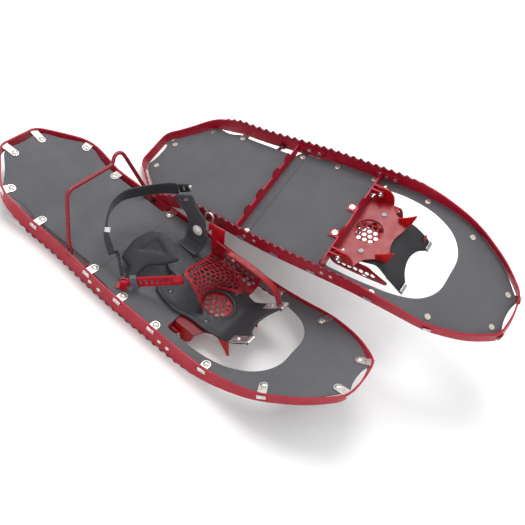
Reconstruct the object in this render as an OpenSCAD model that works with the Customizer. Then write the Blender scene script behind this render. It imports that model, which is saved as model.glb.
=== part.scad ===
// A pair of mountaineering snowshoes. The right shoe stands on its teeth. The left shoe,
// its mirror image, lies upside down beside it with its binding underneath.
// Millimetres. Each shoe is drawn with X from its tail to its toe, the outer side of the
// foot at -Y, and Z = 0 on the top of the flat part of its deck.

/* [Frame] */
// Thickness of the toothed frame strip
strip_t = 2.5; // [2:0.25:3]
// Height of the frame strip above the deck
strip_above = 5; // [4:0.5:6]
// Depth of the solid part of the strip below the deck
strip_below = 21.5; // [20:0.5:23]
// Depth of the tooth tips below the deck
tooth_tip = 26; // [25:0.5:27]
// Spacing of the frame teeth
tooth_pitch = 13; // [11:1:16]

/* [Deck] */
// Thickness of the coated fabric deck
deck_t = 1.2; // [0.8:0.1:1.6]
// How far the toe curls up above the flat deck, as a scale on its curve
toe_rise = 1; // [0.9:0.05:1.05]
// Diameter of the rivet heads on the deck clips
rivet_d = 10; // [9:0.5:11]

/* [Binding] */
// Diameter of the hinge pins that the binding tilts on
pin_d = 5; // [4:0.5:6]
// Thickness of the steel crampon
crampon_t = 2; // [1.5:0.5:2.5]
// Thickness of the moulded footbed
footbed_t = 3; // [2.5:0.5:3.5]
// Thickness of the rubbery straps
strap_t = 2.5; // [2:0.5:3]

/* [Heel lifter] */
// Diameter of the bent wire
wire_d = 6; // [5:0.5:6]
// Length of the wire legs
lifter_leg = 84; // [80:1:86]

/* [Hidden] */
$fn = 48;
EPS = 0.01;
RUN = 0.05;        // radial clearance of a pin in its bore
GAP = 0.3;         // clearance between faces of bodies that move

RED = "crimson";
BRIGHT = "red";
GREY = "dimgray";
COAL = "darkslategray";
BLACK = "black";
STEEL = "silver";

// ---- outline of the frame, as corners [x, y, how far each corner is cut back] ----
side_corners = [
    [68, 94.5, 24], [166, 91, 40], [286, 102, 50], [478, 104, 40],
    [548, 97.5, 24], [604, 71.5, 24], [640, 39.5, 13]
];
tail_corner = [0, 36, 13];
toe_nose = [645, 0, 20];

// Clip and rivet stations: [x, y, direction of the clip in degrees from straight out]
stations = [
    [24, 27, -84], [72, 76, -14], [137, 76, 0],
    [249.5, 84, -4], [310.5, 90.5, -2], [374, 93, 0],
    [465, 92.5, 3], [545, 77.5, 23], [623.5, 30.5, 78]
];

// Where the main parts sit along the shoe
pivot_x = 402;
pivot_z = -14;
pivot_bar_x = 384;
heel_bar_x = 236;
lifter_x = 207;
lifter_z = 1;
lifter_lean = 34;     // degrees back from upright
lifter_half = 86;     // half the distance between its pivots
lifter_top = 60;      // half the width of its top bar
lifter_eye = 94;    // where the wire ends stop inside the frame

// ---- small geometry functions ----
function unit(v) = v / norm(v);
function bend(a, v, b, n) =
    [for (i = [0 : n]) let (t = i / n) (1 - t) * (1 - t) * a + 2 * t * (1 - t) * v + t * t * b];
// Closed outline through corners [x, y, cut], each corner rounded
function rounded(c, n = 5) = [
    for (i = [0 : len(c) - 1])
        let (v = [c[i].x, c[i].y],
             before = c[(i + len(c) - 1) % len(c)],
             after = c[(i + 1) % len(c)],
             p = [before.x, before.y] - v,
             q = [after.x, after.y] - v,
             cut = min(c[i].z, norm(p) / 2.01, norm(q) / 2.01))
        each bend(v + cut * unit(p), v, v + cut * unit(q), n)
];
// A closed outline moved inwards by d; it runs anticlockwise
function inset(p, d) = [
    for (i = [0 : len(p) - 1])
        let (t = unit(p[(i + 1) % len(p)] - p[(i + len(p) - 1) % len(p)]))
        p[i] + d * [-t.y, t.x]
];
function reversed(c) = [for (i = [len(c) - 1 : -1 : 0]) c[i]];
function symmetric(c) = concat([for (p = c) [p.x, -p.y, p.z]], reversed(c));
function cross2(a, b) = a.x * b.y - a.y * b.x;
// Distance from p along d to a closed outline
function reach(p, d, pts) = min([
    for (i = [0 : len(pts) - 1])
        let (a = pts[i],
             e = pts[(i + 1) % len(pts)] - a,
             den = cross2(d, e))
        if (abs(den) > 0.001)
            let (t = cross2(a - p, e) / den, s = cross2(a - p, d) / den)
            if (t > 0 && s >= 0 && s <= 1) t
]);

// ---- side profile of the deck ----
tail_kink = 130;
tail_lift = 21;
toe_start = 420;
toe_straight = 550;
toe_slope = 0.455 * toe_rise;
function deck_z(x) =
    x < tail_kink ? tail_lift * (1 - pow(max(x, 0) / tail_kink, 1.6)) :
    x < toe_start ? 0 :
    x < toe_straight ? toe_slope * pow(x - toe_start, 2) / (2 * (toe_straight - toe_start)) :
    toe_slope * (toe_straight - toe_start) / 2 + toe_slope * (x - toe_straight);
function deck_slope(x) = atan((deck_z(x + 1) - deck_z(x - 1)) / 2);
profile_x = [0, 20, 40, 60, 80, 100, 115, 130, 420, 440, 460, 480, 500, 520, 535, 550, 646];

frame_corners = concat(
    [[tail_corner.x, -tail_corner.y, tail_corner.z]],
    [for (c = side_corners) [c.x, -c.y, c.z]],
    [toe_nose],
    reversed(side_corners),
    [tail_corner]
);
frame_outline = rounded(frame_corners);

// ---- frame strip ----
// Lower edge of the strip, deep along the middle and shallow at both ends
function ramp(x, a, b) = let (t = min(1, max(0, (x - a) / (b - a)))) t * t * (3 - 2 * t);
end_depth = 12;
function strip_bottom(x) =
    deck_z(x) - end_depth
    + (-strip_below + end_depth) * ramp(x, 15, 120) * (1 - ramp(x, 440, 560));
teeth_from = 95;
teeth_to = 448;
tooth_h = tooth_tip - strip_below;
// One tooth, as [share of the pitch, share of the height]
tooth_shape = [[0, 0], [0.15, 0.8], [0.28, 1], [0.42, 1], [0.62, 0.35], [0.8, 0.15]];
teeth = [
    for (x = [teeth_from : tooth_pitch : teeth_to], t = tooth_shape)
        let (tx = x + t.x * tooth_pitch)
        [tx, strip_bottom(tx) - t.y * tooth_h * ramp(x, teeth_from - 40, teeth_from + 30)
             * (1 - 0.7 * ramp(x, teeth_to - 50, teeth_to))]
];
side_profile = concat(
    [for (x = [-1, 20, 40, 60, 80]) [x, strip_bottom(x)]],
    teeth,
    [for (x = [470, 490, 510, 530, 550, 575, 600, 625, 648]) [x, strip_bottom(x)]],
    [for (x = reversed(profile_x)) [x == 646 ? 648 : x == 0 ? -1 : x, deck_z(x) + strip_above]]
);

module along_y(half_width) {
    rotate([90, 0, 0])
        linear_extrude(height = 2 * half_width, center = true)
            children();
}

// Puts its children at each station, X outwards along the clip and Z off the deck
module at_stations(which = [0 : 8]) {
    for (i = which, side = [-1, 1]) {
        s = stations[i];
        translate([s.x, side * s.y, deck_z(s.x)])
            rotate([0, -deck_slope(s.x), 0])
                rotate([0, 0, side * (90 - s.z)])
                    children();
    }
}
function clip_reach(i) =
    let (s = stations[i], a = 90 - s.z)
    reach([s.x, s.y], [cos(a), sin(a)], frame_outline);
clip_w = 12.5;
clip_t = 1;
clip_gap = 0.2;       // the deck curves a little under a flat clip
slot_w = clip_w + 1;
slot_h = 1.6;

module frame_rail() {
    color(RED)
    difference() {
        intersection() {
            translate([0, 0, -60])
                linear_extrude(height = 180)
                    difference() {
                        polygon(frame_outline);
                        polygon(inset(frame_outline, strip_t));
                    }
            along_y(120) polygon(side_profile);
        }
        for (i = [0 : 8]) {
            at_stations([i])
                translate([clip_reach(i) - strip_t * 1.5, -slot_w / 2, deck_t - 0.3])
                    cube([strip_t * 3, slot_w, slot_h]);
        }
        frame_rivet_places() cylinder(h = 40, d = frame_rivet_d + 2 * RUN, center = true);
        lifter_places() cylinder(h = 40, d = wire_d + 2 * RUN, center = true);
    }
}

// ---- deck ----
// Half the edge of the deck from the toe to the tail, as corners [x, y, cut]
deck_half = [
    [12, 12, 6], [8, 28, 4], [16, 41, 5], [42, 61, 14], [64, 85, 5], [82, 87, 6], [108, 80, 16],
    [128, 83, 6], [146, 81, 8], [237, 81, 3], [242, 91, 3], [260, 93, 6], [281, 94, 14],
    [301, 98.5, 6], [319, 99.5, 6], [465, 101.5, 20], [546, 95, 18],
    [602, 69, 18], [632, 37, 8], [638, 27, 4], [634, 12, 8]
];
// Half the edge of the toe opening
opening_half = [[386, 83, 5], [440, 84.5, 20], [488, 79, 22], [524, 63, 18], [543, 34, 22]];
// Where the binding's two ears stand, each side of the middle
ear_y = 66;

module side_sheet(rise, t) {
    along_y(120)
        polygon(concat(
            [for (x = profile_x) [x, deck_z(x) + rise]],
            [for (x = reversed(profile_x)) [x, deck_z(x) + rise - t]]
        ));
}

module deck() {
    color(GREY)
    difference() {
        intersection() {
            translate([0, 0, -20])
                linear_extrude(height = 130)
                    difference() {
                        intersection() {
                            polygon(rounded(symmetric(deck_half), 4));
                            polygon(inset(frame_outline, strip_t + GAP));
                        }
                        polygon(rounded(symmetric(opening_half), 5));
                    }
            side_sheet(deck_t, deck_t);
        }
        at_stations() cylinder(h = 8, d = shank_d + 2 * RUN, center = true);
        bar_rivet_places() cylinder(h = 8, d = shank_d + 2 * RUN, center = true);
    }
}

module deck_clips() {
    color(STEEL)
    for (i = [0 : 8]) {
        run = clip_reach(i) + (i == 0 || i == 8 ? 2.4 : 0.8);
        at_stations([i])
            difference() {
                translate([0, 0, deck_t + clip_gap])
                    union() {
                        cylinder(h = clip_t, d = clip_w);
                        translate([0, -clip_w / 2, 0]) cube([run, clip_w, clip_t]);
                        translate([run, -clip_w / 2, -5]) cube([clip_t, clip_w, 5 + clip_t]);
                    }
                cylinder(h = 20, d = shank_d + 2 * RUN, center = true);
            }
    }
}

shank_d = 4;
head_h = 2.2;
module dome(d, h) {
    rotate_extrude()
        intersection() {
            translate([0, h - (d * d / 4 + h * h) / (2 * h)])
                circle(r = (d * d / 4 + h * h) / (2 * h));
            square([d, h]);
        }
}

// Rivet with a domed head on top and a flat head under the deck
module deck_rivet() {
    top = deck_t + clip_t + clip_gap;
    translate([0, 0, top]) dome(rivet_d, head_h);
    translate([0, 0, -1.4]) cylinder(h = top + 1.4 + EPS, d = shank_d);
    translate([0, 0, -1.4]) cylinder(h = 1.2, d = rivet_d - 1);
}

bar_rivet_x = 371;
bar_rivet_y = 27;
module bar_rivet_places() {
    for (side = [-1, 1])
        translate([bar_rivet_x, side * bar_rivet_y, 0])
            children();
}
module deck_rivets() {
    color(STEEL) {
        at_stations() deck_rivet();
        bar_rivet_places() {
            translate([0, 0, deck_t]) cylinder(h = 0.6, d = rivet_d - 1);
            translate([0, 0, -3.3]) cylinder(h = 3.3 + deck_t + EPS, d = shank_d);
            translate([0, 0, -3.3]) cylinder(h = 1.1, d = rivet_d - 1);
        }
    }
}

// ---- crossbars ----
frame_rivet_d = 4;
// Rivets that fix the crossbars' end tabs to the frame, as [x, z]
bar_rivets = [[pivot_bar_x + 8, -10], [pivot_bar_x + 23, -10], [heel_bar_x + 21, -10], [heel_bar_x + 39, -10]];
module frame_rivet_places() {
    for (r = bar_rivets, side = [-1, 1])
        translate([r.x, side * reach([r.x, 0], [0, 1], frame_outline), r.y])
            rotate([side * -90, 0, 0])
                children();
}
bar_t = 2;
bar_top = -1.6;
tab_h = 13;
// Half the toothed lower edge of each bar, as [y, z] from the middle out
pivot_bar_edge = [
    [0, -17], [20, -17], [24, -24], [30, -25.5], [36, -24], [40, -17], [84, -17], [88, -24], [92, -24], [96, -17]
];
heel_bar_edge = [
    [0, -16], [14, -16], [18, -24], [24, -25.5], [30, -24], [34, -16], [50, -16],
    [54, -24], [59, -25.5], [64, -24], [68, -15], [93, -15]
];
// A blade across the shoe: its lower edge and its half width
module blade(x, edge, half) {
    outer = edge[len(edge) - 1];
    translate([x, 0, 0])
        rotate([90, 0, 90])
            linear_extrude(height = bar_t)
                polygon(concat(
                    [for (p = edge) if (p.x < half) p],
                    [[half, outer.y], [half, bar_top], [-half, bar_top], [-half, outer.y]],
                    [for (p = reversed(edge)) if (p.x > 0 && p.x < half) [-p.x, p.y]]
                ));
}
// The inner face of the frame at x
function inner_half(x) = reach([x, 0], [0, 1], frame_outline) - strip_t - 0.1;
// Tabs that turn along the frame at both ends of a blade, from x for a run
module end_tabs(x, run) {
    for (side = [-1, 1])
        linear_extrude(height = tab_h)
            polygon([
                [x, side * (inner_half(x) - bar_t)], [x, side * inner_half(x)],
                [x + run, side * inner_half(x + run)], [x + run, side * (inner_half(x + run) - bar_t)]
            ]);
}
lug_inner = 4.5;      // distance of each lug from the ear's middle
lug_t = 2.5;

module pivot_crossbar() {
    color(RED)
    difference() {
        union() {
            blade(pivot_bar_x, pivot_bar_edge, inner_half(pivot_bar_x));
            translate([0, 0, -16.5]) end_tabs(pivot_bar_x + bar_t / 4, 31);
            for (side = [-1, 1]) {
                translate([bar_rivet_x - 7, side * bar_rivet_y - 7, bar_top - 0.5])
                    cube([pivot_bar_x - bar_rivet_x + 8.2, 14, 2]);
                for (inner = [-1, 1])
                    translate([pivot_bar_x + bar_t / 2, side * ear_y + inner * lug_inner - lug_t / 2, pivot_z - 4.6])
                        cube([pivot_x - pivot_bar_x + 2, lug_t, 9.2]);
            }
        }
        translate([pivot_x, 0, pivot_z])
            rotate([90, 0, 0])
                cylinder(h = 2 * (ear_y + pin_reach), d = pin_d, center = true);
        frame_rivet_places() cylinder(h = 40, d = frame_rivet_d + 2 * RUN, center = true);
        bar_rivet_places() cylinder(h = 20, d = shank_d + 2 * RUN, center = true);
    }
}

module heel_crossbar() {
    color(RED)
    difference() {
        union() {
            blade(heel_bar_x, heel_bar_edge, inner_half(heel_bar_x));
            translate([0, 0, -15.5]) end_tabs(heel_bar_x + bar_t / 4, 48);
        }
        frame_rivet_places() cylinder(h = 40, d = frame_rivet_d + 2 * RUN, center = true);
    }
}

module frame_rivets() {
    color(STEEL)
    frame_rivet_places() {
        translate([0, 0, 0.3]) dome(7, 1.5);
        translate([0, 0, -strip_t - bar_t - 2]) cylinder(h = strip_t + bar_t + 2.3 + EPS, d = frame_rivet_d);
        translate([0, 0, -strip_t - bar_t - 2]) cylinder(h = 1.2, d = 7);
    }
}

pin_reach = 11;
module pivot_pins() {
    color(STEEL)
    for (side = [-1, 1])
        translate([pivot_x, side * ear_y, pivot_z])
            rotate([90, 0, 0]) {
                cylinder(h = 2 * pin_reach, d = pin_d - 2 * RUN, center = true);
                for (end = [-1, 1])
                    translate([0, 0, end * (lug_inner + lug_t / 2 + 1.3)])
                        cylinder(h = 1.6, d = pin_d + 4, center = true);
            }
}

// ---- heel lifter ----
module lifter_places() {
    for (side = [-1, 1])
        translate([lifter_x, side * 90, lifter_z - lifter_drop])
            rotate([side * -90, 0, 0])
                children();
}
lifter_drop = 2;
cap_r = 6;
cap_t = 2.5;
module lifter_caps() {
    color(BLACK)
    for (side = [-1, 1])
        translate([lifter_x, side * (reach([lifter_x, 0], [0, 1], frame_outline) - strip_t - 0.7 - cap_t / 2), lifter_z - lifter_drop])
            rotate([90, 0, 0])
                difference() {
                    cylinder(h = cap_t, r = cap_r, center = true);
                    cylinder(h = 10, d = wire_d + 2 * RUN, center = true);
                }
}

// The wire's path in its own plane, as [y, height]: legs, top bar and the raised hook
hook_from = 34;
hook_rise = 12;
lifter_path = [
    [-lifter_half, 0], [-lifter_half, 14], [-lifter_top, lifter_leg], [hook_from, lifter_leg],
    [hook_from + 8, lifter_leg + hook_rise], [lifter_top - 2, lifter_leg + hook_rise],
    [lifter_top + 3, lifter_leg - 4], [lifter_half, 14], [lifter_half, 0]
];
module rod(a, b, d) {
    v = b - a;
    translate(a)
        rotate([0, acos(v.z / norm(v)), atan2(v.y, v.x)])
            cylinder(h = norm(v), d = d);
}
module heel_lifter(lean = lifter_lean) {
    color(RED)
    translate([lifter_x, 0, lifter_z - lifter_drop])
        rotate([0, -lean, 0]) {
            for (i = [0 : len(lifter_path) - 2])
                rod([0, lifter_path[i].x, lifter_path[i].y], [0, lifter_path[i + 1].x, lifter_path[i + 1].y], wire_d);
            for (p = lifter_path)
                translate([0, p.x, p.y]) sphere(d = wire_d + 0.3);
            for (side = [-1, 1])
                rod([0, side * lifter_half, 0], [0, side * lifter_eye, 0], wire_d);
        }
}

// ---- crampon: plate, two ears that the pins go through, and claws ----
plate_top = 2;
// Half the edge of the crampon plate
crampon_half = [
    [388, 66.9, 3], [422, 66.9, 2], [429, 50, 6], [446, 40, 5], [461, 39, 1], [459, 24, 6], [453, 8, 8]
];
window_r = 22;
window_x = 413;
claw_y = 37;
// One front claw seen from the side, as [x, z]
claw = [[443, 0], [463, 0], [472, -25], [470, -26], [461, -18], [450, -10], [443, -6]];
plate_rivets = [[352, 36], [420, 37.5]];

module crampon() {
    color(BRIGHT)
    difference() {
        union() {
            translate([0, 0, plate_top - crampon_t])
                linear_extrude(height = crampon_t)
                    polygon(rounded(symmetric(crampon_half), 4));
            for (side = [-1, 1]) {
                translate([0, side * ear_y, 0])
                    along_y(crampon_t / 2) polygon(rounded(ear_points, 4));
                translate([0, side * claw_y, 0])
                    along_y(crampon_t / 2) polygon([for (p = claw) [p.x, p.y + plate_top - crampon_t + EPS]]);
            }
        }
        translate([window_x, 0, 0]) cylinder(h = 20, r = window_r, center = true);
        for (side = [-1, 1])
            translate([plate_rivets[1].x, side * plate_rivets[1].y, 0])
                cylinder(h = 20, d = shank_d + 2 * RUN, center = true);
        translate([pivot_x, 0, pivot_z])
            rotate([90, 0, 0])
                cylinder(h = 2 * (ear_y + pin_reach), d = pin_d, center = true);
    }
}
// Flange bent down from the plate, with its hinge hole, as [x, z, cut]
ear_points = [
    [391, plate_top - EPS, 0.1], [391, -15, 6], [398, -23.5, 5], [414, -23.5, 6], [422, -12, 6],
    [422, plate_top - EPS, 0.1]
];

// ---- footbed ----
footbed_half = [
    [330, 46, 8], [346, 53, 8], [376, 58, 8], [400, 51, 8], [426, 51, 8], [450, 46, 6], [464, 50, 6],
    [490, 52, 6], [491, 34, 4], [483, 22, 6], [479, 7, 6]
];
prong_from = 446;
prong_x = 490;
prong_z = 40;
cradle_t = 1.6;
bed_low = plate_top + cradle_t + 0.2;
// Height of the underside of the footbed: flat, then curling up at the front
function bed_z(x) = bed_low + (x > prong_from ? (prong_z - bed_low) * pow((x - prong_from) / (prong_x - prong_from), 1.5) : 0);
function bed_slope(x) = atan((bed_z(x + 1) - bed_z(x - 1)) / 2);
bed_x = [255, prong_from, 454, 462, 470, 478, 486, 496];
lip_w = 5;
lip_h = 1;
module footbed() {
    color(COAL)
    difference() {
        union() {
            translate([window_x, 0, bed_low]) cylinder(h = footbed_t + lip_h, r = window_r + 1 + lip_w);
            intersection() {
                linear_extrude(height = 80)
                    polygon(rounded(symmetric(footbed_half), 4));
                along_y(80)
                    polygon(concat(
                        [for (x = bed_x) [x, bed_z(x)]],
                        [for (x = reversed(bed_x)) [x, bed_z(x) + footbed_t]]
                    ));
            }
        }
        translate([window_x, 0, 0]) cylinder(h = 40, r = window_r + 1, center = true);
        binding_rivet_places() cylinder(h = 20, d = shank_d + 2 * RUN, center = true);
    }
}
module binding_rivet_places() {
    for (side = [-1, 1]) {
        for (r = plate_rivets)
            translate([r.x, side * r.y, 0]) children();
    }
}
module binding_rivets() {
    color(STEEL)
    for (side = [-1, 1]) {
        translate([plate_rivets[0].x, side * plate_rivets[0].y, 0]) {
            translate([0, 0, bed_low + footbed_t]) dome(8, 1.8);
            translate([0, 0, plate_top + 0.1]) cylinder(h = bed_low + footbed_t - plate_top, d = shank_d);
        }
        translate([plate_rivets[1].x, side * plate_rivets[1].y, 0]) {
            translate([0, 0, bed_low + footbed_t]) dome(8, 1.8);
            translate([0, 0, plate_top - crampon_t - 1]) cylinder(h = bed_low + footbed_t + crampon_t, d = shank_d);
            translate([0, 0, plate_top - crampon_t - 1.2]) cylinder(h = 1.2, d = 8);
        }
    }
}

// ---- toe cradle: a perforated rubbery sheet under the footbed that rises round the toe ----
cell = 9.5;         // spacing of the holes
hole_r = 3.9;
cradle_half = [[340, 40, 5], [350, 48, 5], [380, 53, 6], [400, 47, 6], [440, 43, 8], [446, 24, 8], [448, 8, 8]];
module honeycomb(w, h) {
    row = cell * sqrt(3) / 2;
    for (i = [0 : floor(w / cell)], j = [0 : floor(h / row)])
        translate([(i + (j % 2) / 2) * cell, j * row]) circle(r = hole_r, $fn = 6);
}
module toe_cradle() {
    color("firebrick")
    difference() {
        union() {
            translate([0, 0, plate_top])
                linear_extrude(height = cradle_t)
                    difference() {
                        polygon(rounded(symmetric(cradle_half), 4));
                        intersection() {
                            translate([window_x - window_r - 2, -window_r - 2])
                                honeycomb(2 * window_r + 4, 2 * window_r + 4);
                            translate([window_x, 0]) circle(r = window_r - 1);
                        }
                    }
            cradle_wall();
            cradle_rim();
        }
        binding_rivet_places() cylinder(h = 30, d = shank_d + 2 * RUN, center = true);
    }
}
// The far wall rises from the plate and, at its back, arches over the instep to the ladder strap
wall_from = 346;
wall_arch = 44;
wall_to = 434;
wall_path = [[44, 2.8], [60.5, 2.8], [65.5, 12], [67, 26], [64.5, 40], [56, 52], [50, 56.2]];
arch_path = [[42, 60], [24, 65], [4, 66], [-16, 62], [-28, 54], [-34, 46]];
module cradle_wall() {
    translate([wall_from, 0, 0])
        rotate([90, 0, 90])
            linear_extrude(height = wall_arch)
                band(concat(wall_path, arch_path), cradle_t);
    translate([wall_from + wall_arch - 1, 0, 0])
        rotate([90, 0, 90])
            linear_extrude(height = wall_to - wall_from - wall_arch)
                band(wall_path, cradle_t);
}
// A strip of even thickness along an open path
module band(path, t) {
    n = len(path) - 1;
    side = [
        for (i = [0 : n])
            let (d = unit(path[min(i + 1, n)] - path[max(i - 1, 0)]))
            [-d.y, d.x]
    ];
    polygon(concat(
        [for (i = [0 : n]) path[i] + side[i] * t / 2],
        [for (i = [n : -1 : 0]) path[i] - side[i] * t / 2]
    ));
}
// Thick rim from the wall's top edge forward and down to the far prong, as [x, z]
rim_path = [[382, 56.2], [394, 56.8], [412, 58], [432, 60], [452, 61], [470, 58], [482, 51], [487, 43.5]];
rim_y = 50;
module cradle_rim() {
    translate([0, rim_y, 0])
        along_y(4) band(rim_path, 3.5);
}

// ---- clips on the prongs ----
module toe_clips() {
    color(STEEL)
    for (side = [-1, 1])
        translate([prong_x - 16, side * 42, bed_z(prong_x - 16) + footbed_t + 1.4])
            rotate([0, -bed_slope(prong_x - 16), 0]) {
                translate([-7, -8, 0]) cube([14, 16, 1.2]);
                translate([0, 0, 1.2 - EPS]) dome(6, 1.5);
            }
}

// ---- rear of the binding ----
module slab(points, t) {
    linear_extrude(height = t) polygon(rounded(points, 4));
}
// Heel pad: the near side wing, leaning in over the deck
pad_lean = 26;
pad_points = [[0, 0, 5], [22, -4, 5], [27, -25, 2], [37, -25, 2], [38, 14, 6], [56, 30, 6], [70, 50, 6], [44, 66, 8], [22, 68, 6], [4, 56, 6], [-4, 32, 6]];
pad_recess = [[12, 22, 3], [52, 46, 3], [22, 56, 3]];
module heel_pad() {
    color(COAL)
    translate([266, -50, 14])
        rotate([pad_lean, 0, 0])
            difference() {
                slab(pad_points, 5);
                translate([0, 0, 3]) slab(pad_recess, 5);
            }
}
// Tongue: the soft sheet that joins the pad and the far wing to the footbed
module tongue() {
    color(GREY)
    translate([0, 0, bed_low + footbed_t + 0.3])
        slab([[300, 12, 8], [322, -8, 8], [344, -8, 6], [346, 34, 6], [322, 42, 8], [292, 40, 10]], 2);
}
// Ankle arm: the far side wing that carries the button and the strap slot
arm_y = 62;
arm_points = [
    [298, 9.3, 6], [334, 9.3, 4], [334, 32, 8], [325, 50, 6], [321, 63, 7], [308, 71, 7], [298, 79, 5],
    [288, 92, 4], [260, 70, 4], [268, 56, 4], [286, 52, 8], [296, 34, 8]
];
button_x = 315;
button_z = 40;
module ankle_arm() {
    color(GREY)
    translate([0, arm_y, 0])
        rotate([90, 0, 0])
            difference() {
                linear_extrude(height = 3, center = true)
                    polygon(rounded(arm_points, 4));
                translate([button_x, button_z, 0]) cylinder(h = 20, d = 6 + 2 * RUN, center = true);
                translate([277, 72.5, 0]) rotate([0, 0, 39]) cube([16, 4, 20], center = true);
            }
    color(GREY)
        translate([299, arm_y - 22, 9.3]) cube([34, 22, 3]);
}
module arm_button() {
    color("white")
    translate([button_x, arm_y, button_z])
        rotate([90, 0, 0]) {
            translate([0, 0, -4.5]) cylinder(h = 8, d = 6);
            translate([0, 0, 1.6]) cylinder(h = 1, d = 17);
            translate([0, 0, 2.6]) dome(12, 3.5);
            translate([0, 0, -5.5]) cylinder(h = 3.6, d = 9);
        }
}

// Straps are flat strips that follow a path of points, standing on edge
module strap(path, w, t) {
    for (i = [0 : len(path) - 2]) {
        a = path[i];
        v = path[i + 1] - a;
        flat = norm([v.x, v.y]);
        translate(a)
            rotate([0, 0, atan2(v.y, v.x)])
                rotate([0, -atan2(v.z, flat), 0]) {
                    translate([0, -t / 2, -w / 2]) cube([norm(v), t, w]);
                    translate([0, 0, -w / 2]) cylinder(h = w, d = t);
                }
    }
}

ladder_a = [371, -32, 50];
ladder_b = [312, -70, 18];
ladder_w = 19;
module ladder_strap() {
    v = ladder_b - ladder_a;
    color(RED)
    difference() {
        translate(ladder_a)
            rotate([0, 0, atan2(v.y, v.x)])
                rotate([0, -atan2(v.z, norm([v.x, v.y])), 0])
                    difference() {
                        union() {
                            translate([9, -strap_t / 2, -ladder_w / 2]) cube([norm(v), strap_t, ladder_w]);
                            translate([norm(v) + 8, -strap_t / 2, -5]) cube([13, strap_t, 10]);
                        }
                        for (i = [0 : 5])
                            translate([30 + i * 8, 0, 0]) cube([3, 10, 9], center = true);
                        translate([norm(v) + pin_at, 0, 0]) rotate([90, 0, 0]) cylinder(h = 9, d = anchor_pin + 2 * RUN, center = true);
                    }
    }
}
module ladder_button() {
    v = ladder_b - ladder_a;
    color(RED)
    translate(ladder_a)
        rotate([0, 0, atan2(v.y, v.x)])
            rotate([0, -atan2(v.z, norm([v.x, v.y])), 0])
                translate([17, strap_t / 2 + 0.1, 0])
                    rotate([-90, 0, 0])
                        dome(16, 4);
}
module ladder_keeper() {
    v = ladder_b - ladder_a;
    color("slategray")
    translate(ladder_a)
        rotate([0, 0, atan2(v.y, v.x)])
            rotate([0, -atan2(v.z, norm([v.x, v.y])), 0])
                translate([norm(v) + 1.5, 0, 0])
                    difference() {
                        cube([9, strap_t + 4.2, ladder_w + 4.2], center = true);
                        cube([20, strap_t + 1, ladder_w + 1], center = true);
                    }
}
// Bracket on the deck that holds the rear end of the ladder strap between two cheeks
pin_at = 17;
anchor_pin = 3;
module ladder_anchor() {
    v = ladder_b - ladder_a;
    tilt = atan2(-v.z, norm([v.x, v.y]));
    color(RED)
    translate([ladder_b.x, ladder_b.y, 0])
        rotate([0, 0, atan2(v.y, v.x)]) {
            translate([9, -5.5, deck_t + 0.2]) cube([16, 11, 2]);
            for (side = [-1, 1])
                translate([11, side * 2.9 - 1, deck_t + 2]) cube([9, 2, 14]);
            translate([pin_at * cos(tilt), 0, ladder_b.z - pin_at * sin(tilt)])
                rotate([90, 0, 0]) cylinder(h = 9, d = anchor_pin, center = true);
        }
}

// Far strap: rises from the cradle wall; a hem along its rear edge holds the wire ring
far_strap_path = [[358, 69.5, 8], [349, 68.5, 38], [343, 66.5, 62]];
far_strap_w = 24;
ring_x = 330;
ring_y = 66.5;
hem_z = [52, 64];
hem_d = 6;
module ring_strap() {
    color(RED)
    difference() {
        union() {
            for (i = [0 : 1]) {
                a = far_strap_path[i];
                b = far_strap_path[i + 1];
                v = b - a;
                translate(a)
                    rotate([0, atan2(v.x, v.z), 0])
                        translate([-far_strap_w / 2, -strap_t / 2, -1]) cube([far_strap_w, strap_t, norm(v) + 3]);
            }
            translate([ring_x, ring_y, hem_z.x]) cylinder(h = hem_z.y - hem_z.x, d = hem_d);
            translate([ring_x, ring_y - strap_t / 2, hem_z.x]) cube([14, strap_t, hem_z.y - hem_z.x]);
        }
        translate([ring_x, ring_y, 0]) cylinder(h = 100, d = ring_d + 2 * RUN);
    }
}

// Wire ring: a long link, with one straight side through the hem
ring_d = 3;
ring_r = 7;
ring_straight = [hem_z.x - 1, hem_z.y + 8];
module ring_bow() {
    rotate_extrude(angle = 180) translate([ring_r, 0]) circle(d = ring_d);
}
module ring_buckle() {
    color(STEEL)
    translate([ring_x - ring_r, ring_y, ring_straight.x]) {
        for (side = [-1, 1])
            translate([side * ring_r, 0, 0]) cylinder(h = ring_straight.y - ring_straight.x, d = ring_d);
        translate([0, 0, ring_straight.y - ring_straight.x]) rotate([90, 0, 0]) ring_bow();
        rotate([-90, 0, 0]) ring_bow();
    }
}

// Heel strap round the back of the heel
heel_path = [
    [288, -70, 10], [258, -62, 24], [236, -54, 40], [222, -40, 54], [212, -18, 60], [210, 6, 61],
    [216, 26, 61], [228, 46, 64], [242, 60, 70], [257, 68.5, 77]
];
heel_w = 20;
module heel_strap() {
    color(BLACK) strap([for (i = [1 : 9]) heel_path[i]], heel_w, strap_t);
}
module heel_strap_tail() {
    color(BLACK) strap([heel_path[0], [270, -61, 26]], 10, 2);
}
module heel_strap_clip() {
    color(BLACK)
    translate([266.5, 72.5, 83])
        rotate([0, -31, 18])
            cube([20, 4.5, 15], center = true);
}
module heel_buckle() {
    color(STEEL)
    translate([232, -50, 44])
        rotate([0, 40, -48])
            difference() {
                cube([7, 8, 26], center = true);
                cube([20, 4, 22], center = true);
            }
}

// ---- the two shoes ----
// The right shoe stands level. The left shoe is mirrored in its deck, which turns it into the
// other foot's shoe upside down, and leans on its binding.
right_place = [-378.8, -93.2, 26];
left_place = [-255.9, 91.3, 34.6];
left_turn = [19.2, -16.8, 0.5];
left_lean = 41;     // the left lifter is folded a little further back
module right_shoe() {
    translate(right_place) children();
}
module left_shoe() {
    translate(left_place) rotate(left_turn) mirror([0, 0, 1]) children();
}

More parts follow.
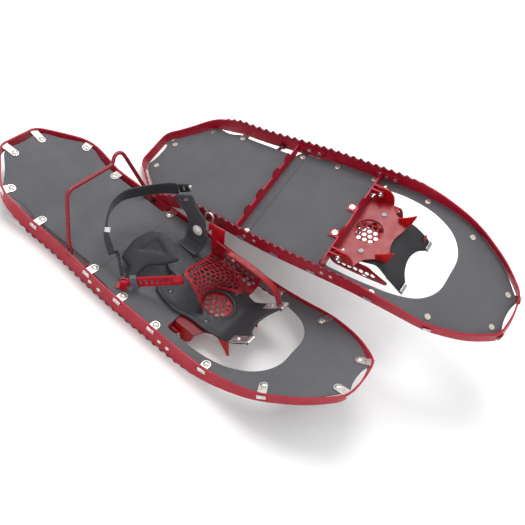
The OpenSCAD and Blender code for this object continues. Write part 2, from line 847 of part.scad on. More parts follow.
right_shoe() frame_rail();  // right_frame_rail
right_shoe() deck();  // right_deck
right_shoe() deck_clips();  // right_deck_clips
right_shoe() deck_rivets();  // right_deck_rivets
right_shoe() pivot_crossbar();  // right_pivot_crossbar
right_shoe() heel_crossbar();  // right_heel_crossbar
right_shoe() frame_rivets();  // right_frame_rivets
right_shoe() pivot_pins();  // right_pivot_pins
right_shoe() lifter_caps();  // right_lifter_caps
right_shoe() heel_lifter();  // right_heel_lifter
right_shoe() crampon();  // right_crampon
right_shoe() footbed();  // right_footbed
right_shoe() toe_cradle();  // right_toe_cradle
right_shoe() binding_rivets();  // right_binding_rivets
right_shoe() toe_clips();  // right_toe_clips
right_shoe() heel_pad();  // right_heel_pad
right_shoe() tongue();  // right_tongue
right_shoe() ankle_arm();  // right_ankle_arm
right_shoe() arm_button();  // right_arm_button
right_shoe() ladder_strap();  // right_ladder_strap
right_shoe() ladder_button();  // right_ladder_button
right_shoe() ladder_keeper();  // right_ladder_keeper
right_shoe() ladder_anchor();  // right_ladder_anchor
right_shoe() ring_strap();  // right_ring_strap
right_shoe() ring_buckle();  // right_ring_buckle
right_shoe() heel_strap();  // right_heel_strap
right_shoe() heel_strap_tail();  // right_heel_strap_tail
right_shoe() heel_strap_clip();  // right_heel_strap_clip
right_shoe() heel_buckle();  // right_heel_buckle
left_shoe() frame_rail();  // left_frame_rail
left_shoe() deck();  // left_deck
left_shoe() deck_clips();  // left_deck_clips
left_shoe() deck_rivets();  // left_deck_rivets
left_shoe() pivot_crossbar();  // left_pivot_crossbar
left_shoe() heel_crossbar();  // left_heel_crossbar
left_shoe() frame_rivets();  // left_frame_rivets
left_shoe() pivot_pins();  // left_pivot_pins
left_shoe() lifter_caps();  // left_lifter_caps
left_shoe() heel_lifter(left_lean);  // left_heel_lifter
left_shoe() crampon();  // left_crampon
left_shoe() footbed();  // left_footbed
left_shoe() toe_cradle();  // left_toe_cradle
left_shoe() binding_rivets();  // left_binding_rivets
left_shoe() toe_clips();  // left_toe_clips
left_shoe() heel_pad();  // left_heel_pad
left_shoe() tongue();  // left_tongue
left_shoe() ankle_arm();  // left_ankle_arm
left_shoe() arm_button();  // left_arm_button
left_shoe() ladder_strap();  // left_ladder_strap
left_shoe() ladder_button();  // left_ladder_button
left_shoe() ladder_keeper();  // left_ladder_keeper
left_shoe() ladder_anchor();  // left_ladder_anchor
left_shoe() ring_strap();  // left_ring_strap
left_shoe() ring_buckle();  // left_ring_buckle
left_shoe() heel_strap();  // left_heel_strap
left_shoe() heel_strap_tail();  // left_heel_strap_tail
left_shoe() heel_strap_clip();  // left_heel_strap_clip
left_shoe() heel_buckle();  // left_heel_buckle
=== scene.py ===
"""Looks for the pair of snowshoes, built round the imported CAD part. Lengths in millimetres
in each shoe's own frame: X from tail to toe, the foot's outer side at -Y, Z = 0 on the deck."""

import math

import bpy
import numpy as np
from mathutils import Matrix, Vector, geometry


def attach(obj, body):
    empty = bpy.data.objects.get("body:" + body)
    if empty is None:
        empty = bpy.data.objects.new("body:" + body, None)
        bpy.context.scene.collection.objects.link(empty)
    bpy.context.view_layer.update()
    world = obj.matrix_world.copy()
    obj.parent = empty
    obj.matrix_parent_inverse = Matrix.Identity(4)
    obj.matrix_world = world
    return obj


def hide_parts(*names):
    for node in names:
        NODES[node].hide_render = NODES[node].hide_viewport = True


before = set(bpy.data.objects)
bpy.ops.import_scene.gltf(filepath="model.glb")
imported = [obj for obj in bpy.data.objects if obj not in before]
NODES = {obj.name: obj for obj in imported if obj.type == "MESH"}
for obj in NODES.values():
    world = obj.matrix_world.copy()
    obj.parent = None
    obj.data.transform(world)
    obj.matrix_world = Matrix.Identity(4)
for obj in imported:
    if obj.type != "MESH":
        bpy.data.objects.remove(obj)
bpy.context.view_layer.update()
MM = 0.001

# ---------------------------------------------------------------- where each shoe stands
RIGHT = Matrix.Translation(Vector((-378.8, -93.2, 26)) * MM)
LEFT = (
    Matrix.Translation(Vector((-255.9, 91.3, 34.6)) * MM)
    @ Matrix.Rotation(math.radians(0.5), 4, "Z")
    @ Matrix.Rotation(math.radians(-16.8), 4, "Y")
    @ Matrix.Rotation(math.radians(19.2), 4, "X")
    @ Matrix.Diagonal((1, 1, -1, 1))
)
SHOE = {"right": RIGHT, "left": LEFT}
SIDES = ("right", "left")


# ---------------------------------------------------------------- small geometry
def unit(v):
    return v / np.maximum(np.linalg.norm(v, axis=-1, keepdims=True), 1e-9)


def bend(v, p, q, cut, n):
    """Points of the rounded corner at v, which starts cut before it on the way from p to q."""
    a, b = v + cut * unit(p - v), v + cut * unit(q - v)
    return [(1 - t) ** 2 * a + 2 * t * (1 - t) * v + t * t * b for t in np.arange(n + 1) / n]


def rounded(corners, n=5):
    """Closed outline through corners (x, y, cut), each corner rounded."""
    c = np.array(corners, float)
    out = []
    for i in range(len(c)):
        v, p, q = c[i, :2], c[i - 1, :2], c[(i + 1) % len(c), :2]
        cut = min(c[i, 2], np.linalg.norm(p - v) / 2.01, np.linalg.norm(q - v) / 2.01)
        out += bend(v, p, q, cut, n)
    return np.array(out)


def symmetric(half):
    """The whole outline, from the corners of its +Y half."""
    return [(x, -y, c) for x, y, c in half] + [(x, y, c) for x, y, c in reversed(half)]


def spaced(loop, step):
    """The closed loop again, with a point at least every step."""
    out = []
    for a, b in zip(loop, np.roll(loop, -1, 0)):
        n = max(1, math.ceil(np.linalg.norm(b - a) / step))
        out += [a + (b - a) * k / n for k in range(n)]
    keep = [p for p, q in zip(out, out[1:] + out[:1]) if np.linalg.norm(q - p) > 0.02]
    return np.array(keep)


def inside(points, loop):
    """Which of the points lie inside the closed loop."""
    x, y = points[:, 0:1], points[:, 1:2]
    x0, y0 = loop[:, 0], loop[:, 1]
    x1, y1 = np.roll(x0, -1), np.roll(y0, -1)
    crosses = (y0 > y) != (y1 > y)
    at = (x1 - x0) * (y - y0) / np.where(y1 == y0, 1e-12, y1 - y0) + x0
    return (crosses & (x < at)).sum(1) % 2 == 1


def edge_distance(points, loops):
    """Distance of each point from the nearest edge of the loops, and that edge's nearest point."""
    best = np.full(len(points), 1e9)
    near = np.zeros_like(points)
    for loop in loops:
        for a, b in zip(loop, np.roll(loop, -1, 0)):
            e = b - a
            t = np.clip(((points - a) @ e) / max(e @ e, 1e-12), 0, 1)
            q = a + t[:, None] * e
            d = np.linalg.norm(points - q, axis=1)
            hit = d < best
            best[hit], near[hit] = d[hit], q[hit]
    return best, near


def smooth_path(points, step=3.0):
    """A smooth open path through points, with even steps."""
    p = np.array(points, float)
    p = np.vstack([2 * p[0] - p[1], p, 2 * p[-1] - p[-2]])
    fine = []
    for i in range(1, len(p) - 2):
        for t in np.arange(24) / 24:
            a, b, c, d = p[i - 1 : i + 3]
            bow = (2 * a - 5 * b + 4 * c - d) * t * t
            twist = (3 * b - a - 3 * c + d) * t**3
            fine.append(0.5 * (2 * b + (c - a) * t + bow + twist))
    fine.append(p[-2])
    fine = np.array(fine)
    s = np.concatenate([[0], np.cumsum(np.linalg.norm(np.diff(fine, axis=0), axis=1))])
    at = np.linspace(0, s[-1], max(3, round(s[-1] / step) + 1))
    return np.stack([np.interp(at, s, fine[:, k]) for k in range(fine.shape[1])], 1)


def hexagon(x, y, r, turn=0.0):
    a = np.radians(turn + 60 * np.arange(6))
    return np.stack([x + r * np.cos(a), y + r * np.sin(a)], 1)


def circle(x, y, r, n):
    a = 2 * np.pi * np.arange(n) / n
    return np.stack([x + r * np.cos(a), y + r * np.sin(a)], 1)


def folded(profile):
    """Puts points (x, s) on a sheet along X whose (y, z) section is profile, s mm along it."""

    def place(p):
        k = np.clip(p[:, 1], 0, len(profile) - 1.001)
        i = k.astype(int)
        w = (k - i)[:, None]
        yz = profile[i] * (1 - w) + profile[i + 1] * w
        return np.stack([p[:, 0], yz[:, 0], yz[:, 1]], 1)

    return place


# ---------------------------------------------------------------- meshes
def piece(name, side, verts, faces, look, body, stands_for=()):
    """A mesh piece of one shoe, put in the row frame."""
    m = SHOE[side]
    v = np.array(verts, float) * MM
    v = v @ np.array(m.to_3x3()).T + np.array(m.translation)
    if side == "left":
        faces = [tuple(reversed(f)) for f in faces]
    mesh = bpy.data.meshes.new(f"{side}_{name}")
    mesh.from_pydata(v.tolist(), [], [tuple(map(int, f)) for f in faces])
    mesh.validate()
    for p in mesh.polygons:
        p.use_smooth = True
    mesh.update()
    o = bpy.data.objects.new(f"{side}_{name}", mesh)
    bpy.context.scene.collection.objects.link(o)
    o.data.materials.append(LOOKS[look][side])
    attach(o, f"{side}_{body}")
    if stands_for:
        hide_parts(*[f"{side}_{n}" for n in stands_for])
    return o


def plate(outline, holes, place, thickness, grid=5.0, height=None, step=4.0):
    """Verts and faces of a plate with rounded edges. place takes (n, 2) points to (n, 3)
    points, and height gives each point's rise of the middle of the plate."""
    loops = [spaced(np.array(outline), step)] + [spaced(np.array(h), step) for h in holes]
    r = thickness / 2
    pts, edges = [], []
    for loop in loops:
        start, n = len(pts), len(loop)
        pts += list(loop)
        edges += [(start + i, start + (i + 1) % n) for i in range(n)]
    extra = []
    for k, loop in enumerate(loops):
        t = unit(np.roll(loop, -1, 0) - np.roll(loop, 1, 0))
        area = np.sum(loop[:, 0] * np.roll(loop[:, 1], -1) - loop[:, 1] * np.roll(loop[:, 0], -1))
        inward = np.stack([-t[:, 1], t[:, 0]], 1) * (1 if area > 0 else -1) * (1 if k == 0 else -1)
        for d in (0.2 * r, r):
            extra.append(np.hstack([loop + inward * d, np.full((len(loop), 1), d * 0.85)]))
    lo, hi = loops[0].min(0), loops[0].max(0)
    rows = np.arange(lo[1] + grid / 2, hi[1], grid * 0.87)
    mesh_points = [
        (x + (j % 2) * grid / 2, y)
        for j, y in enumerate(rows)
        for x in np.arange(lo[0] + grid / 3, hi[0], grid)
    ]
    if mesh_points:
        g = np.array(mesh_points)
        extra.append(np.hstack([g, np.full((len(g), 1), max(r * 1.5, grid * 0.35))]))
    extra = np.vstack(extra)
    good = inside(extra[:, :2], loops[0])
    for h in loops[1:]:
        good &= ~inside(extra[:, :2], h)
    extra = extra[good]
    d, _ = edge_distance(extra[:, :2], loops)
    extra = extra[d >= extra[:, 2]]
    pts = np.vstack([np.array(pts), extra[:, :2]])
    got = geometry.delaunay_2d_cdt([Vector(p) for p in pts], edges, [], 0, 1e-4)
    new = np.array([(p.x, p.y) for p in got[0]])
    tris = np.array([f for f in got[2] if len(f) == 3])
    middle = new[tris].mean(1)
    keep = inside(middle, loops[0])
    for h in loops[1:]:
        keep &= ~inside(middle, h)
    tris = tris[keep]
    a, b, c = (new[tris[:, i]] for i in range(3))
    turn = (b - a)[:, 0] * (c - a)[:, 1] - (b - a)[:, 1] * (c - a)[:, 0]
    tris[turn < 0] = tris[turn < 0][:, ::-1]
    used = np.unique(tris)
    back = np.full(len(new), -1)
    back[used] = np.arange(len(used))
    new, tris = new[used], back[tris]
    d, _ = edge_distance(new, loops)
    half = r * np.sqrt(np.clip(1 - (1 - np.clip(d / r, 0, 1)) ** 2, 0, 1))
    e = 0.05
    base, px, py = place(new), place(new + [e, 0]), place(new + [0, e])
    normal = unit(np.cross(px - base, py - base))
    if height is not None:
        base = base + normal * height(new, d)[:, None]
    top, bottom = base + normal * half[:, None], base - normal * half[:, None]
    edge = d < 1e-3
    n = len(new)
    below = np.arange(n) + n
    below[edge] = np.arange(n)[edge]
    faces = [tuple(t) for t in tris] + [tuple(below[t][::-1]) for t in tris]
    return np.vstack([top, bottom]), faces


def sweep(path, wide, width, thick, n=16, power=3.0):
    """Verts and faces of a strip with a rounded-rectangle section along path. wide is the
    direction of its width, one vector or one for each point."""
    path = np.array(path, float)
    k = len(path)
    t = unit(np.gradient(path, axis=0))
    w = np.broadcast_to(np.array(wide, float), path.shape)
    w = unit(w - (w * t).sum(1, keepdims=True) * t)
    up = np.cross(t, w)
    a = 2 * np.pi * np.arange(n) / n
    cx = np.sign(np.cos(a)) * np.abs(np.cos(a)) ** (2 / power)
    cy = np.sign(np.sin(a)) * np.abs(np.sin(a)) ** (2 / power)
    width = np.broadcast_to(np.array(width, float), (k,))
    thick = np.broadcast_to(np.array(thick, float), (k,))
    rings = []
    for i in range(k):
        rings.append(path[i] + np.outer(cx * width[i] / 2, w[i]) + np.outer(cy * thick[i] / 2, up[i]))
    for i, s in ((0, -1), (k - 1, 1)):  # a smaller ring past each end rounds it
        cap = path[i] + t[i] * s * thick[i] * 0.3
        across = cx * (width[i] / 2 - thick[i] * 0.25)
        ring = cap + np.outer(across, w[i]) + np.outer(cy * thick[i] * 0.28, up[i])
        rings = [ring] + rings if s < 0 else rings + [ring]
    verts = np.vstack(rings)
    faces = []
    for i in range(len(rings) - 1):
        for j in range(n):
            m = (j + 1) % n
            faces.append((i * n + j, i * n + m, (i + 1) * n + m, (i + 1) * n + j))
    last = (len(rings) - 1) * n
    faces.append(tuple(range(n))[::-1])
    faces.append(tuple(last + j for j in range(n)))
    return verts, [tuple(reversed(f)) for f in faces]


def joined(*parts):
    """One mesh from several pairs of verts and faces."""
    verts, faces, at = [], [], 0
    for v, f in parts:
        verts.append(np.array(v))
        faces += [tuple(i + at for i in q) for q in f]
        at += len(v)
    return np.vstack(verts), faces


# ---------------------------------------------------------------- materials
def linear(colour):
    """Scene-linear RGBA from a display colour of 0 to 255."""
    c = np.array(colour, float) / 255
    return (*np.where(c <= 0.04045, c / 12.92, ((c + 0.055) / 1.055) ** 2.4), 1.0)


class Look:
    """Builds one node material for one shoe. Its textures are laid out in that shoe's own frame."""

    def __init__(self, name, side, colour, rough, metal=0.0):
        self.mat = bpy.data.materials.new(f"{side}_{name}")
        self.mat.use_nodes = True
        self.tree = self.mat.node_tree
        self.shader = self.tree.nodes["Principled BSDF"]
        self.shader.inputs["Metallic"].default_value = metal
        self.shader.inputs["Roughness"].default_value = rough
        self.shader.inputs["Base Color"].default_value = linear(colour)
        self.shader.inputs["Specular IOR Level"].default_value = 0.5 if metal else 0.3
        self.colour, self.rough = linear(colour), rough
        self.paint = None
        self.normal = None
        self.frame(side)

    def add(self, kind, inputs=(), **settings):
        n = self.tree.nodes.new(kind)
        for k, v in settings.items():
            setattr(n, k, v)
        for k, v in dict(inputs).items():
            if isinstance(v, bpy.types.NodeSocket):
                self.tree.links.new(v, n.inputs[k])
            else:
                n.inputs[k].default_value = v
        return n

    def math(self, op, a, b=0.0):
        return self.add("ShaderNodeMath", {0: a, 1: b}, operation=op).outputs[0]

    def vector(self, op, a, b, out=0):
        return self.add("ShaderNodeVectorMath", {0: a, 1: b}, operation=op).outputs[out]

    def frame(self, side):
        """The surface point in the shoe's own frame, in millimetres."""
        m = SHOE[side]
        here = self.add("ShaderNodeTexCoord").outputs["Object"]
        moved = self.vector("SUBTRACT", here, tuple(m.translation))
        parts = []
        for k in range(3):
            axis = tuple(c / MM for c in m.to_3x3().col[k])
            parts.append(self.vector("DOT_PRODUCT", moved, axis, "Value"))
        self.x, self.y, self.z = parts
        self.point = self.add("ShaderNodeCombineXYZ", dict(enumerate(parts))).outputs[0]

    def noise(self, scale, detail=3.0, stretch=None):
        at = self.vector("MULTIPLY", self.point, stretch) if stretch else self.point
        n = self.add("ShaderNodeTexNoise", {"Vector": at, "Scale": scale, "Detail": detail})
        return n.outputs["Fac"]

    def between(self, value, lo, hi, a=0.0, b=1.0):
        n = self.add("ShaderNodeMapRange", {0: value, 1: lo, 2: hi, 3: a, 4: b})
        n.interpolation_type = "SMOOTHSTEP"
        return n.outputs[0]

    def blend(self, factor, colour):
        """Mixes a colour over what the surface has so far."""
        n = self.add("ShaderNodeMix", {0: factor, 7: linear(colour)}, data_type="RGBA")
        if self.paint is None:
            n.inputs[6].default_value = self.colour
        else:
            self.tree.links.new(self.paint, n.inputs[6])
        self.paint = n.outputs[2]

    def mottle(self, scale, amount, darker, stretch=None):
        """Soft darker patches."""
        c = [255 * (x ** (1 / 2.2)) * darker for x in self.colour[:3]]
        patches = self.between(self.noise(scale, 4.0, stretch), 0.35, 0.7)
        self.blend(self.math("MULTIPLY", patches, amount), c)

    def uneven(self, scale, amount):
        """Lets the roughness wander about its own value."""
        r = self.between(self.noise(scale), 0.3, 0.7, self.rough - amount, self.rough + amount)
        self.tree.links.new(r, self.shader.inputs["Roughness"])

    def bump(self, height, depth, strength=1.0):
        n = self.add("ShaderNodeBump", {"Height": height, "Distance": depth * MM, "Strength": strength})
        if self.normal is not None:
            self.tree.links.new(self.normal, n.inputs["Normal"])
        self.normal = n.outputs[0]

    def soft_edges(self, radius, wear_and_highlight=None, amount=0.5):
        """Rounds sharp edges in the shading, and paints another, paler colour along them in patches: painted
        highlight, patchy like wear.
        """
        n = self.add("ShaderNodeBevel", {"Radius": radius * MM}, samples=6)
        self.normal = n.outputs[0]
        if wear_and_highlight is not None:
            flat = self.add("ShaderNodeNewGeometry").outputs["Normal"]
            same = self.vector("DOT_PRODUCT", flat, n.outputs[0], "Value")
            edge = self.between(same, 0.999, 0.9, 0.0, 1.0)
            # Painted highlight along the edges, broken into patches like wear.
            edge_patches = self.between(self.noise(0.25, 5.0), 0.35, 0.6)
            self.blend(self.math("MULTIPLY", self.math("MULTIPLY", edge, edge_patches), amount), wear_and_highlight)

    def done(self):
        if self.paint is not None:
            self.tree.links.new(self.paint, self.shader.inputs["Base Color"])
        if self.normal is not None:
            self.tree.links.new(self.normal, self.shader.inputs["Normal"])
        return self.mat


def painted(name, side, colour, rough, wear_and_highlight, coat, teeth=False, shade_above=None):
    """Powder coat with a fine orange peel and paler edges, a painted highlight in patches like wear.
    teeth paints shade on the frame's low edge, and above paints shade, a darker colour, on what
    stands over the plate, under the footbed."""
    k = Look(name, side, colour, rough)
    k.shader.inputs["Coat Weight"].default_value = coat
    k.shader.inputs["Coat Roughness"].default_value = 0.25
    k.soft_edges(0.5, wear_and_highlight, 0.55)
    k.mottle(0.02, 0.35, 0.8)
    if shade_above is not None:
        # Painted shade: the crampon darker where it stands over its plate, under the footbed.
        k.blend(k.between(k.z, -2.0, 1.5), shade_above)
    if teeth:
        # Painted shade: the frame's low band, where the teeth bend inwards, darker in patches.
        low = k.between(k.z, -17.5, -24.0)
        teeth_shade = k.math("MULTIPLY", low, k.between(k.noise(0.12), 0.2, 0.7, 0.5, 0.95))
        k.blend(teeth_shade, (98, 22, 38))
    k.uneven(0.08, 0.07)
    k.bump(k.noise(1.1, 2.0), 0.05, 0.6)
    return k.done()


def metal(name, side, colour, rough, grain=(0.15, 2.5, 2.5)):
    """Brushed light metal with fine scratches and smudges."""
    k = Look(name, side, colour, rough, 0.9)
    k.soft_edges(0.35)
    k.mottle(0.15, 0.45, 0.75)
    k.uneven(0.3, 0.1)
    k.bump(k.noise(1.0, 4.0, grain), 0.06, 0.7)
    return k.done()


def moulded(name, side, colour, rough, grain=0.9, sheen=0.0, edge=None):
    """Moulded plastic or rubber with a fine pebbled grain."""
    k = Look(name, side, colour, rough)
    k.shader.inputs["Sheen Weight"].default_value = sheen
    # edge is a paler colour along the edges: painted highlight, in patches like wear.
    k.soft_edges(0.5, edge, 0.6)
    k.mottle(0.05, 0.4, 0.75)
    k.uneven(0.15, 0.08)
    cells = k.add("ShaderNodeTexVoronoi", {"Vector": k.point, "Scale": grain}).outputs["Distance"]
    k.bump(cells, 0.08, 0.5)
    return k.done()


def see_through(name, side, colour):
    """Thin, slightly see-through sheet with flow marks."""
    k = Look(name, side, colour, 0.45)
    k.shader.inputs["Transmission Weight"].default_value = 0.35
    k.shader.inputs["IOR"].default_value = 1.35
    k.mottle(0.04, 0.5, 0.7, stretch=(1, 1, 3))
    k.uneven(0.1, 0.1)
    k.bump(k.noise(0.5, 3.0), 0.1, 0.5)
    return k.done()


WEAVE, STITCH, SEAM_X = 1.1, 4.6, 254.0


def deck_cloth(name, side, colour):
    """Coated woven cloth: a fine plain weave under a matte coating, with a sewn line."""
    k = Look(name, side, colour, 0.75)
    k.shader.inputs["Sheen Weight"].default_value = 0.12
    k.mottle(0.012, 0.35, 0.82)
    k.mottle(0.5, 0.25, 0.8)
    warp = k.math("SINE", k.math("MULTIPLY", k.x, 2 * math.pi / WEAVE))
    weft = k.math("SINE", k.math("MULTIPLY", k.y, 2 * math.pi / WEAVE))
    weave = k.math("MULTIPLY", warp, weft)
    k.blend(k.between(weave, 0.0, 1.0, 0.0, 0.22), (70, 70, 75))
    near = k.math("ABSOLUTE", k.math("SUBTRACT", k.x, SEAM_X))
    dash = k.between(k.math("SINE", k.math("MULTIPLY", k.y, 2 * math.pi / STITCH)), -0.3, 0.1)
    inner = k.between(k.math("ABSOLUTE", k.y), 82.0, 80.0)
    stitch = k.math("MULTIPLY", k.math("MULTIPLY", k.between(near, 0.9, 0.4), dash), inner)
    k.blend(k.math("MULTIPLY", stitch, 0.8), (40, 40, 44))
    k.uneven(0.05, 0.06)
    k.bump(weave, 0.12, 0.5)
    k.bump(stitch, 0.4, 0.8)
    return k.done()


def embossed(name, side, colour):
    """Rubbery strap with a raised chevron rib along it."""
    k = Look(name, side, colour, 0.5)
    k.shader.inputs["Sheen Weight"].default_value = 0.15
    k.mottle(0.06, 0.4, 0.7)
    lean = k.math("ADD", k.z, k.math("MULTIPLY", k.y, 0.7))
    ribs = k.math("SINE", k.math("MULTIPLY", lean, 2 * math.pi / 5.0))
    k.blend(k.between(ribs, 0.2, 0.9, 0.0, 0.35), (70, 72, 78))
    k.uneven(0.2, 0.08)
    k.bump(k.between(ribs, -0.4, 0.6), 0.5, 0.7)
    return k.done()


# Each look's kind, its display colour, and what else that kind takes
# The paler edge colours are painted highlight in patches like wear; the crampon's last colour is painted
# shade over its plate.
LOOK_KINDS = {
    "frame": (painted, (166, 8, 40), 0.42, (214, 96, 120), 0.08, True),
    "crampon": (painted, (184, 10, 16), 0.36, (226, 120, 110), 0.12, False, (112, 12, 24)),
    "lifter": (painted, (136, 20, 32), 0.3, (200, 96, 96), 0.3),
    "deck": (deck_cloth, (92, 92, 96)),
    "clip": (metal, (214, 208, 206), 0.34),
    "rivet": (metal, (222, 214, 204), 0.28, (1.5, 1.5, 1.5)),
    "dark_rivet": (metal, (96, 96, 100), 0.35, (1.5, 1.5, 1.5)),
    "steel": (metal, (196, 196, 198), 0.25, (2.5, 0.2, 2.5)),
    "black": (moulded, (28, 28, 31), 0.45, 0.9, 0.0, (70, 70, 75)),
    "charcoal": (moulded, (44, 44, 48), 0.45, 0.7, 0.03, (74, 74, 80)),
    "pad": (moulded, (42, 43, 48), 0.55, 1.3, 0.1),
    "grey_sheet": (see_through, (92, 93, 99)),
    "cradle": (moulded, (146, 18, 32), 0.42, 0.8, 0.0, (176, 50, 64)),
    "strap": (moulded, (184, 12, 34), 0.42, 0.8, 0.0, (206, 60, 78)),
    "belt": (embossed, (30, 31, 35)),
    "keeper": (moulded, (92, 98, 108), 0.4, 0.8, 0.0, (140, 146, 156)),
    "white": (moulded, (236, 234, 230), 0.35, 0.6),
}
LOOKS = {
    name: {side: kind(name, side, colour, *more) for side in SIDES}
    for name, (kind, colour, *more) in LOOK_KINDS.items()
}

# The CAD nodes that keep their own shape, and their looks
KEPT = {
    "frame_rail": "frame", "deck_clips": "clip", "deck_rivets": "rivet", "pivot_crossbar": "frame",
    "heel_crossbar": "frame", "frame_rivets": "rivet", "pivot_pins": "steel", "lifter_caps": "black",
    "crampon": "crampon", "binding_rivets": "dark_rivet",
    "arm_button": "white", "ladder_button": "strap", "ladder_keeper": "keeper", "ladder_anchor": "strap",
    "ring_buckle": "steel", "heel_buckle": "steel",
}
for side in SIDES:
    for node, look in KEPT.items():
        o = NODES[f"{side}_{node}"]
        o.data.materials.clear()
        o.data.materials.append(LOOKS[look][side])
        if node in ("ladder_keeper", "heel_buckle"):
            b = o.modifiers.new("round", "BEVEL")
            b.width, b.segments, b.limit_method = 0.6 * MM, 3, "ANGLE"

# ---------------------------------------------------------------- deck cloth
STRIP_T, DECK_T, BED_T, CRADLE_T = 2.5, 1.2, 3.0, 1.6
PLATE_TOP = 2.0
BED_LOW = PLATE_TOP + CRADLE_T + 0.2
SIDE_CORNERS = [
    (68, 94.5, 24), (166, 91, 40), (286, 102, 50), (478, 104, 40),
    (548, 97.5, 24), (604, 71.5, 24), (640, 39.5, 13),
]
DECK_HALF = [
    (12, 12, 6), (8, 28, 4), (16, 41, 5), (42, 61, 14), (64, 85, 5), (82, 87, 6), (108, 80, 16),
    (128, 83, 6), (146, 81, 8), (237, 81, 3), (242, 91, 3), (260, 93, 6), (281, 94, 14),
    (301, 98.5, 6), (319, 99.5, 6), (465, 101.5, 20), (546, 95, 18),
    (602, 69, 18), (632, 37, 8), (638, 27, 4), (634, 12, 8),
]
OPENING_HALF = [(386, 83, 5), (440, 84.5, 20), (488, 79, 22), (524, 63, 18), (543, 34, 22)]
# Where the clips hold the deck down: x and the distance from the middle line
STATIONS = [
    (24, 27), (72, 76), (137, 76), (249.5, 84), (310.5, 90.5),
    (374, 93), (465, 92.5), (545, 77.5), (623.5, 30.5),
]


def deck_z(x):
    """Height of the deck's underside, which rises at the tail and the toe."""
    x = np.asarray(x, float)
    tail = 21 * (1 - (np.clip(x, 0, 130) / 130) ** 1.6)
    curl = 0.455 * (np.clip(x, 420, 550) - 420) ** 2 / 260 + 0.455 * np.clip(x - 550, 0, None)
    return tail + curl


def frame_inset(d):
    """The frame's outline, moved d inwards."""
    corners = [(0, -36, 13)] + [(x, -y, c) for x, y, c in SIDE_CORNERS] + [(645, 0, 20)]
    corners += list(reversed(SIDE_CORNERS)) + [(0, 36, 13)]
    p = rounded(corners)
    t = unit(np.roll(p, -1, 0) - np.roll(p, 1, 0))
    return p + d * np.stack([-t[:, 1], t[:, 0]], 1)


def build_deck(side):
    limit = frame_inset(STRIP_T + 0.3)
    outline = spaced(rounded(symmetric(DECK_HALF), 4), 3.0)
    out = ~inside(outline, limit)
    outline[out] = edge_distance(outline[out], [limit])[1]
    opening = rounded(symmetric(OPENING_HALF), 5)

    def place(p):
        return np.stack([p[:, 0], p[:, 1], deck_z(p[:, 0]) + DECK_T / 2], 1)

    def height(p, d):
        calm = np.ones(len(p))
        dip = np.zeros(len(p))
        for x, y in STATIONS:
            r = np.hypot(p[:, 0] - x, np.abs(p[:, 1]) - y)
            calm *= 1 - np.exp(-((r / 18) ** 2))
            dip -= 0.25 * np.exp(-((r / 13) ** 2))
        wave = 0.45 * np.sin(p[:, 0] / 21 + 1.3 * np.sin(p[:, 1] / 34)) * np.sin(p[:, 1] / 17 + p[:, 0] / 60)
        return dip + calm * wave

    v, f = plate(outline, [opening], place, DECK_T, 6.0, height, 3.0)
    o = piece("deck_cloth", side, v, f, "deck", "frame", ["deck"])


# ---------------------------------------------------------------- footbed and toe cradle
FOOTBED_HALF = [
    (330, 46, 8), (346, 53, 8), (376, 58, 8), (400, 51, 8), (426, 51, 8), (450, 46, 6), (464, 50, 6),
    (490, 52, 6), (491, 34, 4), (483, 22, 6), (479, 7, 6),
]
CRADLE_HALF = [
    (340, 40, 5), (350, 48, 5), (380, 53, 6), (400, 47, 6), (440, 43, 8), (446, 24, 8), (448, 8, 8),
]
WINDOW_X, WINDOW_R = 413, 23
CELL, HOLE_R = 9.5, 3.9


def bed_z(x):
    """Height of the footbed's underside, which curls up at the prongs."""
    x = np.asarray(x, float)
    return BED_LOW + (40 - BED_LOW) * (np.clip(x - 446, 0, None) / 44) ** 1.5


def build_footbed(side):
    def place(p):
        return np.stack([p[:, 0], p[:, 1], bed_z(p[:, 0]) + BED_T / 2], 1)

    def height(p, d):
        lip = 1.1 * np.clip(1 - np.abs(d - 3.0) / 3.0, 0, 1)
        hoop = 0.8 * (np.hypot(p[:, 0] - WINDOW_X, p[:, 1]) < WINDOW_R + 5)
        return lip + hoop

    outline = rounded(symmetric(FOOTBED_HALF), 4)
    window = circle(WINDOW_X, 0, WINDOW_R, 40)
    v, f = plate(outline, [window], place, BED_T, 3.2, height, 3.0)
    piece("footbed_moulding", side, v, f, "charcoal", "binding", ["footbed"])


def honeycomb(x0, x1, y0, y1, fits):
    """Hexagonal holes in staggered rows, where fits(x, y) allows one."""
    holes = []
    row = CELL * math.sqrt(3) / 2
    for j in range(int((y1 - y0) / row) + 1):
        for i in range(int((x1 - x0) / CELL) + 1):
            x, y = x0 + (i + (j % 2) / 2) * CELL, y0 + j * row
            if fits(x, y):
                holes.append(hexagon(x, y, HOLE_R, 30))
    return holes


def holes_clear_of(outline, margin):
    """Says whether a hole at (x, y) keeps margin of sheet between itself and the outline."""

    def fits(x, y):
        q = np.array([[x, y]])
        return bool(inside(q, outline)[0]) and edge_distance(q, [outline])[0][0] > HOLE_R + margin

    return fits


def cradle_base():
    """The flat part under the footbed, with holes showing in its window."""
    low, high = WINDOW_X - WINDOW_R, WINDOW_X + WINDOW_R

    def shows(x, y):
        return math.hypot(x - WINDOW_X, y) < WINDOW_R - 3.5

    def place(p):
        return np.stack([p[:, 0], p[:, 1], np.full(len(p), PLATE_TOP + CRADLE_T / 2)], 1)

    holes = honeycomb(low, high, -WINDOW_R, WINDOW_R, shows)
    return plate(rounded(symmetric(CRADLE_HALF), 4), holes, place, CRADLE_T, 5.0)


def cradle_wall():
    """The far side wall, which leans in at its top."""
    section = [(44, 3.2), (60.5, 3.2), (65.5, 12), (67, 26), (64.5, 40), (56, 52), (49, 56.5)]
    profile = smooth_path(section, 1.0)
    total = len(profile) - 1
    outline = rounded([(346, 1, 3), (434, 1, 3), (440, total - 2, 5), (352, total - 2, 5)], 4)
    clear = holes_clear_of(outline, 1.8)
    holes = honeycomb(356, 440, 25, total - 4, lambda x, y: y > 24 and clear(x, y))
    return plate(outline, holes, folded(profile), CRADLE_T, 4.0)


